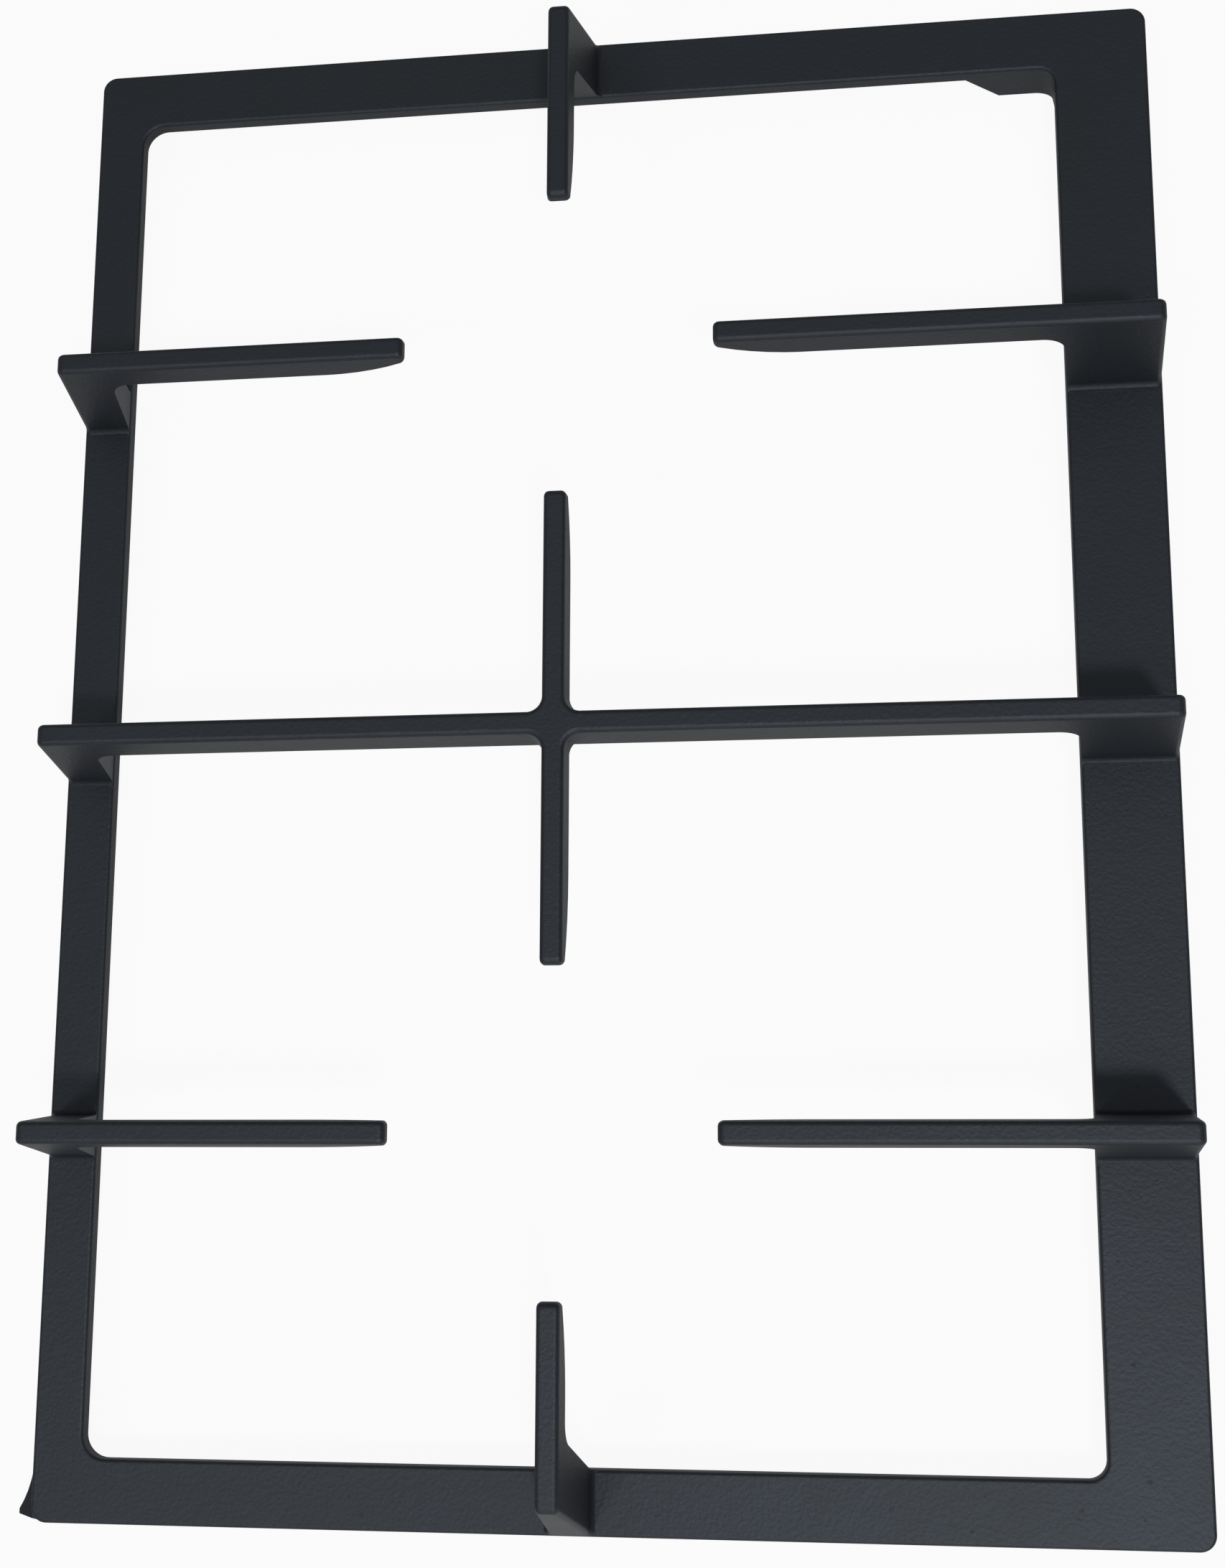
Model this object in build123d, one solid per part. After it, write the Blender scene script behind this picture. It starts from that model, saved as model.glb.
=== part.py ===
from build123d import *
import os
from math import cos, hypot, radians, sin, sqrt, tan
from typing import NamedTuple

# Cast-iron pan support for two burners of a gas hob: one casting.
# A thin flat frame stands on four corner feet. Eight pan fingers rise from it on leaning
# legs: three pairs across the grate, of which the middle one is a single crossbar with a
# spine through it, and one finger from each end bar.
# Millimetres, +Z up. X runs across the grate and Y from its front to its back.
# The origin is the middle of the footprint, toe included, at the height of the soles.

# Frame
frame_width = 290.0
frame_depth = 393.6
frame_thickness = 4.0
left_bar_width = 12.8
right_bar_width = 24.3
back_bar_width = 15.9
front_bar_width = 15.7
outer_corner_radius = 4.0
left_window_radius = 6.0
right_window_radius = 4.5
frame_top_round = 0.9

# Where the two burners stand under the grate, as a pair a little in front of its middle
burner_clear_diameter = 79.0
burner_pitch = 197.0
burner_from_left = 137.2
burners_forward = 2.4

# Pan fingers. Their undersides sweep up to the tips, after at least level_run of level underside.
finger_rise = 35.8
finger_top_width = 5.4
finger_draft = 4.1
side_finger_depth = 8.5
end_finger_depth = 7.2
end_tip_from_burner = 38.6
crossbar_depth = 11.0
spine_depth = 6.8
finger_sweep = 22.0
level_run = 1.0
tip_height = 3.2
tip_round = 1.7
finger_edge_round = 1.3
crossing_radius = 4.0

# Legs. Their ends lean from upright by these angles, in degrees.
left_outer_lean = 9.0
left_inner_lean = 11.0
right_outer_lean = 4.2
right_inner_lean = 5.7
front_outer_lean = 16.0
front_inner_lean = 19.5
back_outer_lean = 13.6
back_inner_lean = 14.0
heel_round = 2.0
armpit_radius = 6.0
leg_flare_radius = 2.2
leg_flare_sink = 0.25

# Corner feet. The back right one reaches along the back bar, past the window's corner.
# The front right one stands in a little from the window's edges.
foot_height = 9.3
foot_slope = 80.0
back_foot_reach = 14.0
back_foot_slope = 45.0
front_foot_inset = 3.0
left_foot_width = 8.5
left_foot_length = 10.0

# The toe that the front left foot has
toe_reach = 4.0
toe_length = 14.0
toe_setback = 2.4
toe_nose_height = 10.3
toe_nose_width = 1.2
toe_inset = 0.3

# Places that follow from the sizes above
frame_left = (toe_reach - frame_width) / 2
frame_right = frame_left + frame_width
frame_front = -frame_depth / 2
frame_back = frame_depth / 2
frame_top = foot_height + frame_thickness
root_depth = frame_thickness / 2
burner_x = frame_left + burner_from_left
crossbar_y = -burners_forward
front_burner_y = crossbar_y - burner_pitch / 2
back_burner_y = crossbar_y + burner_pitch / 2
tip_from_burner = burner_clear_diameter / 2
half_top = finger_top_width / 2
draft_slope = tan(radians(finger_draft))

# The rounding of a finger's edges has room within the rounds of its tip and heel.
edge_round = min(finger_edge_round, 0.85 * tip_round, 0.85 * heel_round)

# A leg's ends cross the rounded edges of its bar half way round, so the leg starts this
# far in from the bar's side and this far below its top.
leg_bite = frame_top_round * (1 - sqrt(0.5))


class Leg(NamedTuple):
    """The width of the bar that a leg stands on, and how far its two ends lean."""

    bar_width: float
    outer_lean: float
    inner_lean: float


left_leg = Leg(left_bar_width, left_outer_lean, left_inner_lean)
right_leg = Leg(right_bar_width, right_outer_lean, right_inner_lean)
front_leg = Leg(front_bar_width, front_outer_lean, front_inner_lean)
back_leg = Leg(back_bar_width, back_outer_lean, back_inner_lean)


def vertices_at(face, points):
    """The corners of a sketch face that lie at the given points."""
    return [face.vertices().sort_by_distance((*point, 0))[0] for point in points]


def outline_sketch():
    """The frame seen from above: a rounded rectangle with a window that is off centre."""
    middle_x = (frame_left + frame_right) / 2
    outline = Pos(middle_x, 0) * RectangleRounded(frame_width, frame_depth, outer_corner_radius)
    window_left = frame_left + left_bar_width
    window_right = frame_right - right_bar_width
    window_front = frame_front + front_bar_width
    window_back = frame_back - back_bar_width
    window = make_face(
        Polyline(
            (window_left, window_front),
            (window_right, window_front),
            (window_right, window_back),
            (window_left, window_back),
            close=True,
        )
    )
    left_corners = [(window_left, window_front), (window_left, window_back)]
    right_corners = [(window_right, window_front), (window_right, window_back)]
    window = fillet(vertices_at(window, left_corners), left_window_radius)
    window = fillet(vertices_at(window, right_corners), right_window_radius)
    return outline - window


def frame_plate():
    """The flat frame, with its upper edges rounded."""
    plate = Pos(0, 0, foot_height) * extrude(outline_sketch(), frame_thickness)
    return fillet(plate.faces().sort_by(Axis.Z)[-1].edges(), frame_top_round)


def foot_wedge(sole_length, slope):
    """A foot's side view: a flat sole from the frame's corner, then a slope up to the frame."""
    slope_run = foot_height / tan(radians(slope))
    return make_face(
        Polyline(
            (0, 0),
            (sole_length, 0),
            (sole_length + slope_run, foot_height),
            (0, foot_height),
            close=True,
        )
    )


def foot(sole_width, sole_length, slope, toward_x, toward_y):
    """One corner foot, under the two bars that meet over it and flush with their sides.

    toward_x and toward_y are +1 or -1: the way from the corner into the grate.
    """
    across = extrude(Plane.XZ * foot_wedge(sole_width, slope), frame_depth, both=True)
    along = extrude(Plane.YZ * foot_wedge(sole_length, slope), frame_width, both=True)
    wedge = across & along
    if toward_x < 0:
        wedge = mirror(wedge, about=Plane.YZ)
    if toward_y < 0:
        wedge = mirror(wedge, about=Plane.XZ)
    corner_x = frame_left if toward_x > 0 else frame_right
    corner_y = frame_front if toward_y > 0 else frame_back
    return (Pos(corner_x, corner_y) * wedge) & extrude(outline_sketch(), foot_height)


def feet():
    """The four corner feet."""
    front_foot_width = right_bar_width - front_foot_inset
    front_foot_length = front_bar_width - front_foot_inset
    back_foot_width = right_bar_width + back_foot_reach
    return [
        foot(left_foot_width, left_foot_length, foot_slope, 1, 1),
        foot(left_foot_width, left_foot_length, foot_slope, 1, -1),
        foot(front_foot_width, front_foot_length, foot_slope, -1, 1),
        foot(back_foot_width, back_bar_width, back_foot_slope, -1, -1),
    ]


def toe():
    """The pointed toe on the front left foot, which curves out from the frame's left edge."""
    root_x = frame_left + outer_corner_radius
    edge_x = frame_left + toe_inset
    nose_x = frame_left - toe_reach
    nose_y = frame_front + toe_setback
    heel = (edge_x, nose_y + toe_length)
    nose_back = (nose_x, nose_y + toe_nose_width / 2)
    nose_front = (nose_x, nose_y - toe_nose_width / 2)
    corner = (root_x, frame_front + toe_inset)
    plan = make_face(
        [
            TangentArc(heel, nose_back, tangent=(0, -1)),
            Polyline(nose_back, nose_front, corner, (root_x, heel[1]), heel),
        ]
    )
    shoulder = frame_top - frame_top_round
    side_view = make_face(
        Polyline(
            (root_x, 0),
            (root_x, shoulder),
            (edge_x, shoulder),
            (nose_x, toe_nose_height),
            (nose_x, 0),
            close=True,
        )
    )
    return extrude(plan, frame_top) & extrude(Plane.XZ * side_view, frame_depth, both=True)


def finger_section():
    """A finger and its leg seen end on, from z = 0 at the frame's top.

    The sides widen downwards by the casting's draft, and flare out where the leg meets the
    frame. The flare's arc dips a little below the frame's top, so that it meets it at an angle.
    """
    side_length = hypot(1, draft_slope)
    arc_z = leg_flare_radius - leg_flare_sink
    arc_y = half_top + draft_slope * (finger_rise - arc_z) + leg_flare_radius * side_length
    flare_start = (
        arc_y - leg_flare_radius / side_length,
        arc_z - leg_flare_radius * draft_slope / side_length,
    )
    flare_middle = (
        arc_y - leg_flare_radius * cos(radians(45)),
        arc_z - leg_flare_radius * sin(radians(45)),
    )
    flare_end = (arc_y, -leg_flare_sink)
    root = (arc_y, -root_depth)
    half = [
        Line((0, finger_rise), (half_top, finger_rise)),
        Line((half_top, finger_rise), flare_start),
        ThreePointArc(flare_start, flare_middle, flare_end),
        Line(flare_end, root),
        Line(root, (0, -root_depth)),
    ]
    other_half = [mirror(edge, about=Plane.YZ) for edge in half]
    return make_face(half + other_half)


def leg_outer(leg):
    """Points up a leg's outer end, from inside the frame to the heel of its finger."""
    run = tan(radians(leg.outer_lean))
    heel_x = leg_bite + run * (finger_rise + leg_bite)
    return [(frame_top_round, -root_depth), (leg_bite, -leg_bite), (heel_x, finger_rise)]


def leg_inner(leg, depth):
    """Points down a leg's inner end, from under its finger to inside the frame."""
    run = tan(radians(leg.inner_lean))
    armpit_z = finger_rise - depth
    foot_x = leg.bar_width - leg_bite
    armpit_x = foot_x + run * (armpit_z + leg_bite)
    return [(armpit_x, armpit_z), (foot_x, -leg_bite), (leg.bar_width - frame_top_round, -root_depth)]


def tip_edges(tip_x, depth, sweep, toward):
    """The blunt end of a finger, and the underside that sweeps up to it.

    toward is +1 where the finger points along +X and -1 where it points the other way.
    """
    top = (tip_x, finger_rise)
    lip = (tip_x, finger_rise - tip_height)
    sweep_start = (tip_x - toward * sweep, finger_rise - depth)
    edges = [Line(top, lip), TangentArc(sweep_start, lip, tangent=(toward, 0))]
    return edges, top, sweep_start


def blade(profile):
    """A drafted blade of the given side view, cut from the section that all fingers share."""
    span = profile.bounding_box()
    slab = extrude(Plane.XZ * profile, finger_rise, both=True)
    section = extrude(Plane.YZ * finger_section(), span.max.X - span.min.X)
    return slab & (Pos(span.min.X, 0, 0) * section)


def rounded(casting):
    """The casting with its upper outline rounded: along the top, and down its tips and heels."""
    top = casting.faces().sort_by(Axis.Z)[-1]
    long_edges = [edge for edge in top.edges() if edge.length > 2 * finger_top_width]
    return fillet(long_edges, edge_round)


def finger(reach, depth, leg):
    """A finger on its leg. It points along +X from the outer edge of its bar at x = 0."""
    outer = leg_outer(leg)
    inner = leg_inner(leg, depth)
    armpit_run = armpit_radius * tan(radians((90 - leg.inner_lean) / 2))
    sweep_room = reach - inner[0][0] - armpit_run - level_run
    tip, top, sweep_start = tip_edges(reach, depth, min(finger_sweep, sweep_room), 1)
    profile = make_face(
        [
            Polyline(*outer, top),
            *tip,
            Polyline(sweep_start, *inner, outer[0]),
        ]
    )
    profile = fillet(vertices_at(profile, [top]), tip_round)
    profile = fillet(vertices_at(profile, [outer[-1]]), heel_round)
    profile = fillet(vertices_at(profile, [inner[0]]), armpit_radius)
    return rounded(blade(profile))


def crossbar():
    """The middle bar on its two legs, from the frame's left edge at x = 0 to its right edge."""
    left_outer = leg_outer(left_leg)
    left_inner = leg_inner(left_leg, crossbar_depth)
    right_outer = [(frame_width - x, z) for x, z in leg_outer(right_leg)]
    right_inner = [(frame_width - x, z) for x, z in leg_inner(right_leg, crossbar_depth)]
    corners = left_outer + right_outer[::-1] + right_inner[::-1] + left_inner
    profile = make_face(Polyline(*corners, close=True))
    profile = fillet(vertices_at(profile, [left_outer[-1], right_outer[-1]]), heel_round)
    profile = fillet(vertices_at(profile, [left_inner[0], right_inner[0]]), armpit_radius)
    return Pos(frame_left, crossbar_y, 0) * blade(profile)


def spine(half_crossing):
    """The lengthwise bar through the crossbar, with a finger tip at each end.

    half_crossing is how far the crossing takes up its underside, from the crossbar's middle.
    """
    half_length = burner_pitch / 2 - tip_from_burner
    sweep = min(finger_sweep, half_length - half_crossing - level_run)
    front, front_top, front_start = tip_edges(-half_length, spine_depth, sweep, -1)
    back, back_top, back_start = tip_edges(half_length, spine_depth, sweep, 1)
    profile = make_face(
        [
            Line(front_top, back_top),
            *back,
            Line(back_start, front_start),
            *front,
        ]
    )
    profile = fillet(vertices_at(profile, [front_top, back_top]), tip_round)
    return Pos(burner_x, crossbar_y, 0) * Rot(0, 0, 90) * blade(profile)


def cross():
    """The crossbar and the spine as one, with the corners between them filled out."""
    half_underside = half_top + draft_slope * spine_depth
    joined = crossbar() + spine(half_underside + crossing_radius)
    middle = Vector(burner_x, crossbar_y, finger_rise - spine_depth / 2)
    corners = [
        edge
        for edge in joined.edges()
        if abs(edge.tangent_at(0.5).Z) > 0.9 and (edge.center() - middle).length < 2 * half_underside
    ]
    return rounded(fillet(corners, crossing_radius))


def side_fingers():
    """The two cross pairs of fingers, one pair over each burner."""
    left_reach = burner_from_left - tip_from_burner
    right_reach = frame_width - burner_from_left - tip_from_burner
    left = finger(left_reach, side_finger_depth, left_leg)
    right = Rot(0, 0, 180) * finger(right_reach, side_finger_depth, right_leg)
    placed = []
    for burner_y in (front_burner_y, back_burner_y):
        placed.append(Pos(frame_left, burner_y, 0) * left)
        placed.append(Pos(frame_right, burner_y, 0) * right)
    return placed


def end_fingers():
    """The finger that each end bar holds towards the burner beside it."""
    front_reach = front_burner_y - frame_front - end_tip_from_burner
    back_reach = frame_back - back_burner_y - end_tip_from_burner
    front = finger(front_reach, end_finger_depth, front_leg)
    back = finger(back_reach, end_finger_depth, back_leg)
    return [
        Pos(burner_x, frame_front, 0) * Rot(0, 0, 90) * front,
        Pos(burner_x, frame_back, 0) * Rot(0, 0, -90) * back,
    ]


def grate():
    """The whole casting."""
    above = [cross(), *side_fingers(), *end_fingers()]
    return frame_plate() + feet() + toe() + [Pos(0, 0, frame_top) * piece for piece in above]


os.makedirs("parts", exist_ok=True)
export_step(grate(), "parts/grate.step")
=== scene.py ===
"""Looks of a cast-iron stove grate: satin enamel over the casting, on a pale studio floor."""

import logging
import math
from dataclasses import dataclass, field
from enum import Enum

import bpy
from mathutils import Euler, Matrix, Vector

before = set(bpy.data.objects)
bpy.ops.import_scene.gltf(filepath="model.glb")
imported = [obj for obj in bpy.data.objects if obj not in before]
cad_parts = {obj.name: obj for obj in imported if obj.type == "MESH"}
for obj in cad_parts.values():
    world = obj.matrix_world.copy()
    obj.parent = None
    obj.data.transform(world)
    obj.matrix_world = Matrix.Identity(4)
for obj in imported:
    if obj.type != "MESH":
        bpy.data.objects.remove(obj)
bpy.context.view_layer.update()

LOG = logging.getLogger("grate")

Triple = tuple[float, float, float]
OPAQUE = 1.0
WHITE: Triple = (1.0, 1.0, 1.0)


class Socket(Enum):
    """Kinds of value that a shader group takes in or puts out."""

    NUMBER = "NodeSocketFloat"
    VECTOR = "NodeSocketVector"


class Seen(Enum):
    """Kinds of ray that see the floor and the world as a plain white ground."""

    CAMERA = "Is Camera Ray"
    GLOSSY = "Is Glossy Ray"
    TRANSMISSION = "Is Transmission Ray"


class Nodes:
    """A short way to add and join the nodes of one tree."""

    def __init__(self, tree: bpy.types.NodeTree) -> None:
        """Keeps the tree and empties it."""
        self.tree = tree
        self.tree.nodes.clear()

    def add(self, kind: str, **values: object) -> bpy.types.Node:
        """Adds a node.

        Args:
            kind: the node's Blender type.
            values: properties of the node, by name.

        Returns:
            The new node.
        """
        node = self.tree.nodes.new(kind)
        for name, value in values.items():
            setattr(node, name, value)
        return node

    def join(self, source: bpy.types.NodeSocket, target: bpy.types.NodeSocket) -> None:
        """Joins an output to an input."""
        self.tree.links.new(source, target)

    def math(self, operation: str, first: object, second: object) -> bpy.types.NodeSocket:
        """Adds a Math node.

        Args:
            operation: what the node does, such as MULTIPLY.
            first: a number, or the output that gives it.
            second: a number, or the output that gives it.

        Returns:
            The node's result.
        """
        node = self.add("ShaderNodeMath", operation=operation)
        for socket, value in zip(node.inputs, (first, second)):
            if isinstance(value, bpy.types.NodeSocket):
                self.join(value, socket)
            else:
                socket.default_value = value
        return node.outputs[0]

    def noise(
        self, place: bpy.types.NodeSocket, size: bpy.types.NodeSocket, detail: float
    ) -> bpy.types.NodeSocket:
        """Adds a noise whose lumps have a given size.

        Args:
            place: the coordinates that it reads.
            size: the output that gives the size of a lump, in metres.
            detail: how many finer octaves it has.

        Returns:
            The noise, about 0 to 1.
        """
        node = self.add("ShaderNodeTexNoise")
        self.join(place, node.inputs["Vector"])
        self.join(self.math("DIVIDE", 1.0, size), node.inputs["Scale"])
        node.inputs["Detail"].default_value = detail
        return node.outputs["Fac"]

    def spread(
        self, value: bpy.types.NodeSocket, kind: str, **ends: float
    ) -> bpy.types.NodeSocket:
        """Spreads a value from one range over another.

        Args:
            value: the output to spread.
            kind: how it is spread, such as LINEAR or SMOOTHSTEP.
            ends: the ends that differ from 0 and 1, such as from_min or to_max.

        Returns:
            The spread value.
        """
        node = self.add("ShaderNodeMapRange", interpolation_type=kind)
        self.join(value, node.inputs["Value"])
        for name, end in ends.items():
            node.inputs[name.replace("_", " ").title()].default_value = end
        return node.outputs["Result"]

    def blend(
        self, share: bpy.types.NodeSocket, first: Triple, second: Triple
    ) -> bpy.types.NodeSocket:
        """Blends two colours.

        Args:
            share: the output that gives the second colour's share.
            first: the colour at 0.
            second: the colour at 1.

        Returns:
            The blended colour.
        """
        node = self.add("ShaderNodeMix", data_type="RGBA")
        self.join(share, node.inputs["Factor"])
        colours = [socket for socket in node.inputs if socket.type == "RGBA"]
        for socket, colour in zip(colours, (first, second)):
            socket.default_value = (*colour, OPAQUE)
        return next(socket for socket in node.outputs if socket.type == "RGBA")

    def white_seen(self, straight: float, turned: float) -> bpy.types.NodeSocket:
        """Tells how white a ray sees its ground.

        Args:
            straight: how white the camera sees it.
            turned: how white reflections and glass see it.

        Returns:
            A level from 0 to 1, which is 0 for the rays that only carry light.
        """
        rays = self.add("ShaderNodeLightPath").outputs
        bent = self.math("MAXIMUM", rays[Seen.GLOSSY.value], rays[Seen.TRANSMISSION.value])
        levels = (
            self.math("MULTIPLY", rays[Seen.CAMERA.value], straight),
            self.math("MULTIPLY", bent, turned),
        )
        return self.math("MAXIMUM", *levels)


@dataclass(frozen=True)
class SandCastSkin:
    """The surface that a sand mould leaves under a coat of enamel, as a shader group."""

    name: str = "sand_cast_skin"
    grain_size: float = 0.0010
    ripple_size: float = 0.006
    pit_size: float = 0.003
    cloud_size: float = 0.03
    grain_detail: float = 4.0
    ripple_detail: float = 1.0
    pit_detail: float = 1.0
    cloud_detail: float = 2.0
    ripple_share: float = 0.5
    pit_share: float = 0.4
    pit_rim: float = 0.72
    pit_floor: float = 0.84

    def group(self) -> bpy.types.NodeTree:
        """Builds the group.

        Returns:
            A group that gives the height of the grain, and masks of its pits and of its cloudy tone.
        """
        group = bpy.data.node_groups.new(self.name, "ShaderNodeTree")
        group.interface.new_socket("Place", in_out="INPUT", socket_type=Socket.VECTOR.value)
        for name, size in (
            ("Grain Size", self.grain_size),
            ("Ripple Size", self.ripple_size),
            ("Pit Size", self.pit_size),
            ("Cloud Size", self.cloud_size),
        ):
            socket = group.interface.new_socket(name, in_out="INPUT", socket_type=Socket.NUMBER.value)
            socket.default_value = size
        for name in ("Height", "Pits", "Cloud"):
            group.interface.new_socket(name, in_out="OUTPUT", socket_type=Socket.NUMBER.value)

        nodes = Nodes(group)
        given = nodes.add("NodeGroupInput").outputs
        result = nodes.add("NodeGroupOutput").inputs
        place = given["Place"]
        grain = nodes.noise(place, given["Grain Size"], self.grain_detail)
        ripple = nodes.noise(place, given["Ripple Size"], self.ripple_detail)
        specks = nodes.noise(place, given["Pit Size"], self.pit_detail)
        pits = nodes.spread(specks, "SMOOTHSTEP", from_min=self.pit_rim, from_max=self.pit_floor)
        lumps = nodes.math("ADD", grain, nodes.math("MULTIPLY", ripple, self.ripple_share))
        hollows = nodes.math("MULTIPLY", pits, self.pit_share)
        nodes.join(nodes.math("SUBTRACT", lumps, hollows), result["Height"])
        nodes.join(pits, result["Pits"])
        cloud = nodes.noise(place, given["Cloud Size"], self.cloud_detail)
        nodes.join(cloud, result["Cloud"])
        return group


@dataclass(frozen=True)
class SatinEnamel:
    """Near-black satin enamel, thin enough for the casting's grain to show through."""

    name: str = "satin_enamel"
    skin: SandCastSkin = field(default_factory=SandCastSkin)
    cool_black: Triple = (0.0088, 0.0106, 0.0156)
    warm_black: Triple = (0.0116, 0.0128, 0.0130)
    sheen: Triple = (0.76, 0.86, 0.99)
    sheen_level: float = 0.50
    smooth: float = 0.48
    dull: float = 0.55
    grain_height: float = 0.00012
    pit_dullness: float = 0.10

    def material(self) -> bpy.types.Material:
        """Builds the material.

        Returns:
            A material that reads Object coordinates.
        """
        made = bpy.data.materials.new(self.name)
        made.use_nodes = True
        nodes = Nodes(made.node_tree)
        shader = nodes.add("ShaderNodeBsdfPrincipled")
        output = nodes.add("ShaderNodeOutputMaterial")
        nodes.join(shader.outputs["BSDF"], output.inputs["Surface"])
        shader.inputs["Specular IOR Level"].default_value = self.sheen_level
        shader.inputs["Specular Tint"].default_value = (*self.sheen, OPAQUE)

        skin = nodes.add("ShaderNodeGroup", node_tree=self.skin.group())
        nodes.join(nodes.add("ShaderNodeTexCoord").outputs["Object"], skin.inputs["Place"])
        cloud = skin.outputs["Cloud"]
        tone = nodes.blend(cloud, self.cool_black, self.warm_black)
        nodes.join(tone, shader.inputs["Base Color"])

        gloss = nodes.spread(cloud, "LINEAR", to_min=self.smooth, to_max=self.dull)
        dulled = nodes.math("MULTIPLY", skin.outputs["Pits"], self.pit_dullness)
        nodes.join(nodes.math("ADD", gloss, dulled), shader.inputs["Roughness"])

        bump = nodes.add("ShaderNodeBump")
        bump.inputs["Strength"].default_value = 1.0
        bump.inputs["Distance"].default_value = self.grain_height
        nodes.join(skin.outputs["Height"], bump.inputs["Height"])
        nodes.join(bump.outputs["Normal"], shader.inputs["Normal"])
        return made


@dataclass(frozen=True)
class PaleFloor:
    """A plain pale floor, seen as a white ground that keeps a light shadow."""

    name: str = "pale_floor"
    colour: Triple = (0.60, 0.60, 0.60)
    plain_white: float = 0.93
    mirrored_white: float = 0.24

    def material(self) -> bpy.types.Material:
        """Builds the material.

        Returns:
            A diffuse floor, mixed with plain white for the rays that see it.
        """
        made = bpy.data.materials.new(self.name)
        made.use_nodes = True
        nodes = Nodes(made.node_tree)
        diffuse = nodes.add("ShaderNodeBsdfDiffuse")
        diffuse.inputs["Color"].default_value = (*self.colour, OPAQUE)
        white = nodes.add("ShaderNodeEmission")
        mix = nodes.add("ShaderNodeMixShader")
        seen, lit_floor, plain_ground = mix.inputs
        nodes.join(nodes.white_seen(self.plain_white, self.mirrored_white), seen)
        nodes.join(diffuse.outputs["BSDF"], lit_floor)
        nodes.join(white.outputs["Emission"], plain_ground)
        output = nodes.add("ShaderNodeOutputMaterial")
        nodes.join(mix.outputs["Shader"], output.inputs["Surface"])
        return made


@dataclass
class Casting:
    """The grate itself: one casting, which is the CAD node as it stands."""

    node: str = "grate"
    finish: SatinEnamel = field(default_factory=SatinEnamel)

    def dress(self) -> bpy.types.Object:
        """Gives the casting its enamel.

        Returns:
            The CAD node's object.
        """
        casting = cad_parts[self.node]
        enamel = self.finish.material()
        for slot in casting.material_slots:
            slot.material = enamel
        return casting


@dataclass(frozen=True)
class Lamp:
    """One soft studio lamp, aimed at a point of the grate."""

    name: str
    place: Triple
    size: tuple[float, float]
    radiance: float
    aim: Triple = (0.0, 0.0, 0.02)

    def light(self) -> bpy.types.Object:
        """Builds the lamp as an area light of the given radiance.

        Returns:
            The lamp's object.
        """
        data = bpy.data.lights.new(self.name, "AREA")
        data.shape = "RECTANGLE"
        data.size, data.size_y = self.size
        data.energy = self.radiance * math.pi * self.size[0] * self.size[1]
        lamp = bpy.data.objects.new(self.name, data)
        lamp.location = self.place
        way = Vector(self.aim) - Vector(self.place)
        lamp.rotation_euler = way.to_track_quat("-Z", "Y").to_euler()
        bpy.context.scene.collection.objects.link(lamp)
        return lamp


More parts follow.
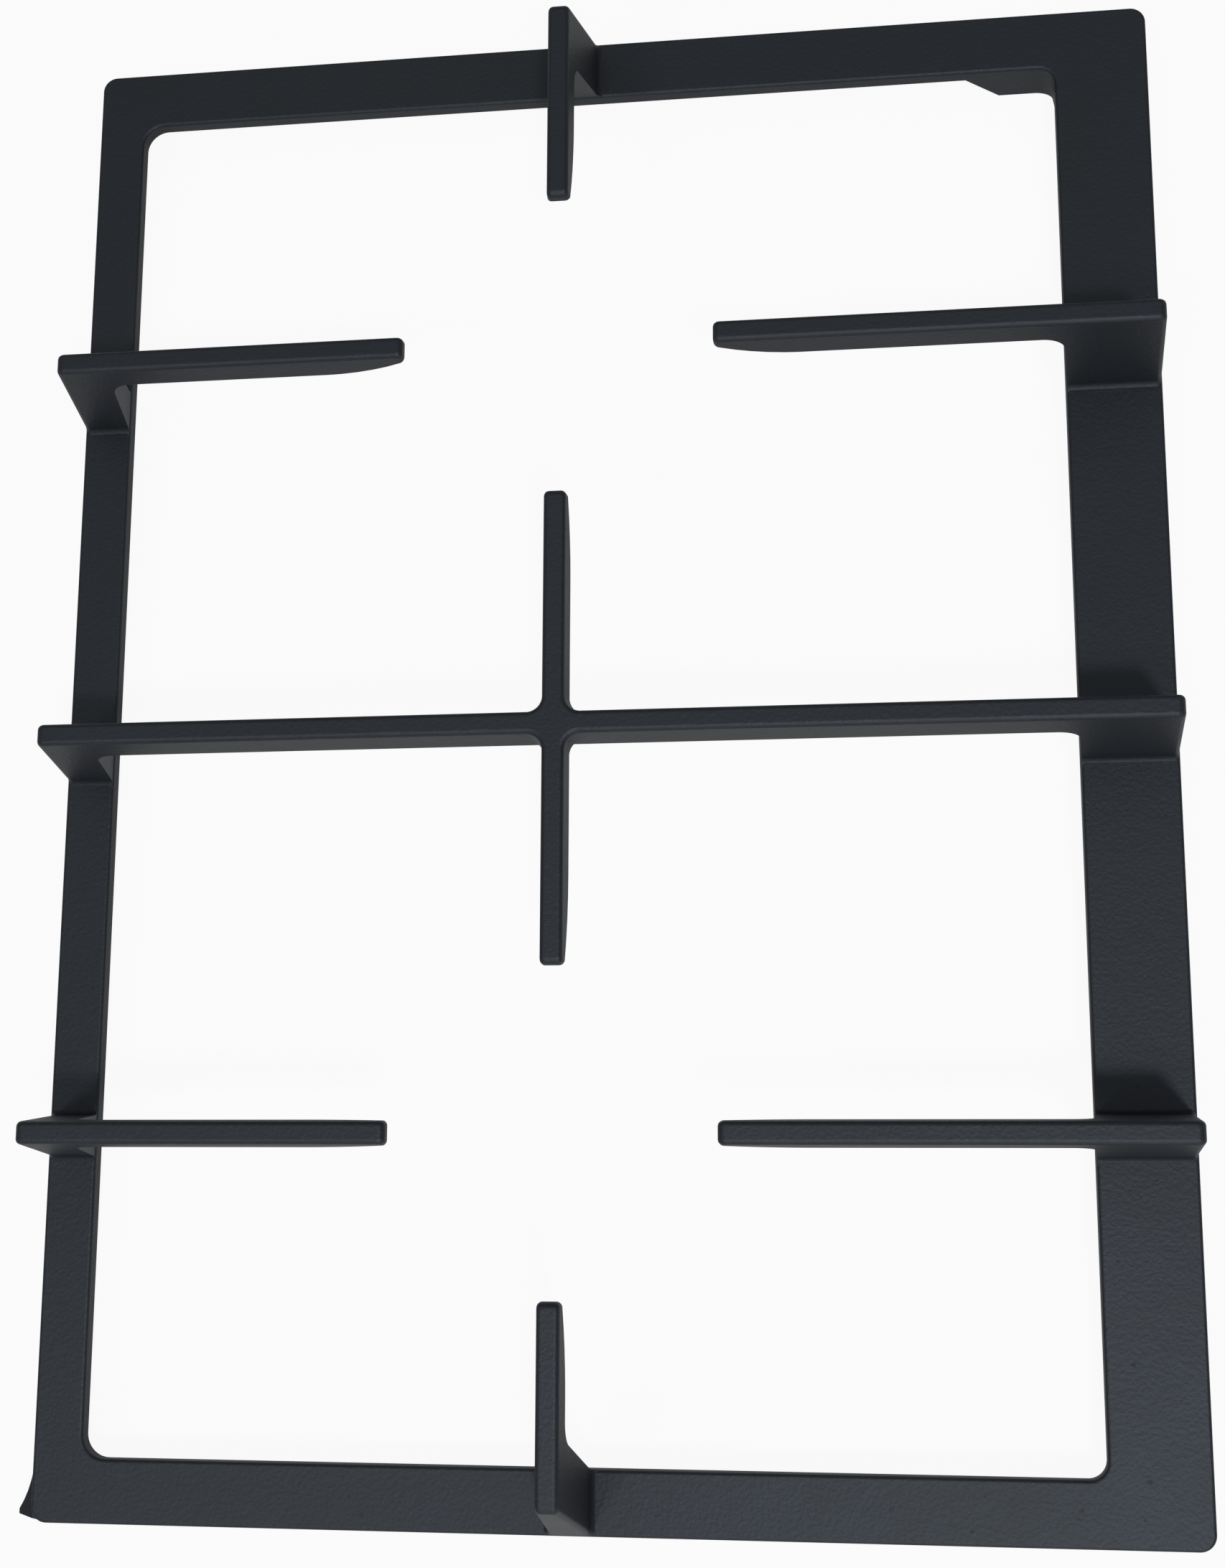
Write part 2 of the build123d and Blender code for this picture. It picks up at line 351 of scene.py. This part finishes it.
@dataclass
class Studio:
    """The floor, the lamps and the plain world around the grate."""

    floor_width: float = 6.0
    floor_drop: float = 0.0002
    world_level: float = 0.15
    world_white: float = 0.97
    floor_finish: PaleFloor = field(default_factory=PaleFloor)
    lamps: tuple[Lamp, ...] = (
        Lamp(
            "pale_ceiling",
            place=(-0.30, 0.30, 2.20),
            size=(4.0, 4.0),
            radiance=0.34,
            aim=(-0.30, 0.30, 0.0),
        ),
        Lamp("front_lamp", place=(0.35, -0.64, 1.50), size=(0.16, 0.16), radiance=108.0),
        Lamp("left_lamp", place=(-0.68, -0.80, 1.50), size=(0.30, 0.30), radiance=15.0),
        Lamp("low_window", place=(0.35, -1.55, 0.80), size=(1.60, 0.60), radiance=2.7),
    )

    def floor(self) -> bpy.types.Object:
        """Lays the floor a hair under the grate's feet.

        Returns:
            The floor's object.
        """
        half = self.floor_width / 2
        sides = ((-half, -half), (half, -half), (half, half), (-half, half))
        corners = [(x, y, -self.floor_drop) for x, y in sides]
        mesh = bpy.data.meshes.new("floor")
        mesh.from_pydata(corners, [], [tuple(range(len(corners)))])
        mesh.materials.append(self.floor_finish.material())
        floor = bpy.data.objects.new("floor", mesh)
        bpy.context.scene.collection.objects.link(floor)
        return floor

    def world(self) -> None:
        """Sets the world to a plain dim light, which the camera sees as white."""
        world = bpy.data.worlds.new("studio")
        world.use_nodes = True
        nodes = Nodes(world.node_tree)
        light = nodes.add("ShaderNodeBackground")
        light.inputs["Color"].default_value = (*WHITE, OPAQUE)
        seen = nodes.white_seen(self.world_white, self.world_level)
        nodes.join(nodes.math("MAXIMUM", seen, self.world_level), light.inputs["Strength"])
        output = nodes.add("ShaderNodeOutputWorld")
        nodes.join(light.outputs["Background"], output.inputs["Surface"])
        bpy.context.scene.world = world

    def build(self) -> list[bpy.types.Object]:
        """Builds the studio.

        Returns:
            The floor and the lamps.
        """
        self.world()
        return [self.floor(), *(lamp.light() for lamp in self.lamps)]


@dataclass(frozen=True)
class PhotoCamera:
    """The camera at the photograph's viewing angle: from above, a little to the front and right."""

    place: Triple = (0.07599, -0.11115, 0.54116)
    turn: Triple = (10.627, 7.718, 0.172)
    focal_length: float = 48.246
    sensor: float = 36.0

    def build(self) -> bpy.types.Object:
        """Builds the camera and makes it the scene's own.

        Returns:
            The camera's object.
        """
        data = bpy.data.cameras.new("photo_camera")
        data.lens = self.focal_length
        data.sensor_width = self.sensor
        camera = bpy.data.objects.new("photo_camera", data)
        camera.location = self.place
        camera.rotation_euler = Euler([math.radians(angle) for angle in self.turn], "XYZ")
        bpy.context.scene.collection.objects.link(camera)
        bpy.context.scene.camera = camera
        return camera


def main() -> None:
    """Builds the camera, the studio and the dressed grate, and reports each piece."""
    logging.basicConfig(level=logging.INFO, format="%(name)s: %(message)s")
    bpy.context.scene.view_settings.view_transform = "Standard"
    LOG.info("camera %s", PhotoCamera().build().name)
    for item in Studio().build():
        LOG.info("studio %s", item.name)
    LOG.info("piece %s", Casting().dress().name)


if __name__ == "__main__":
    main()
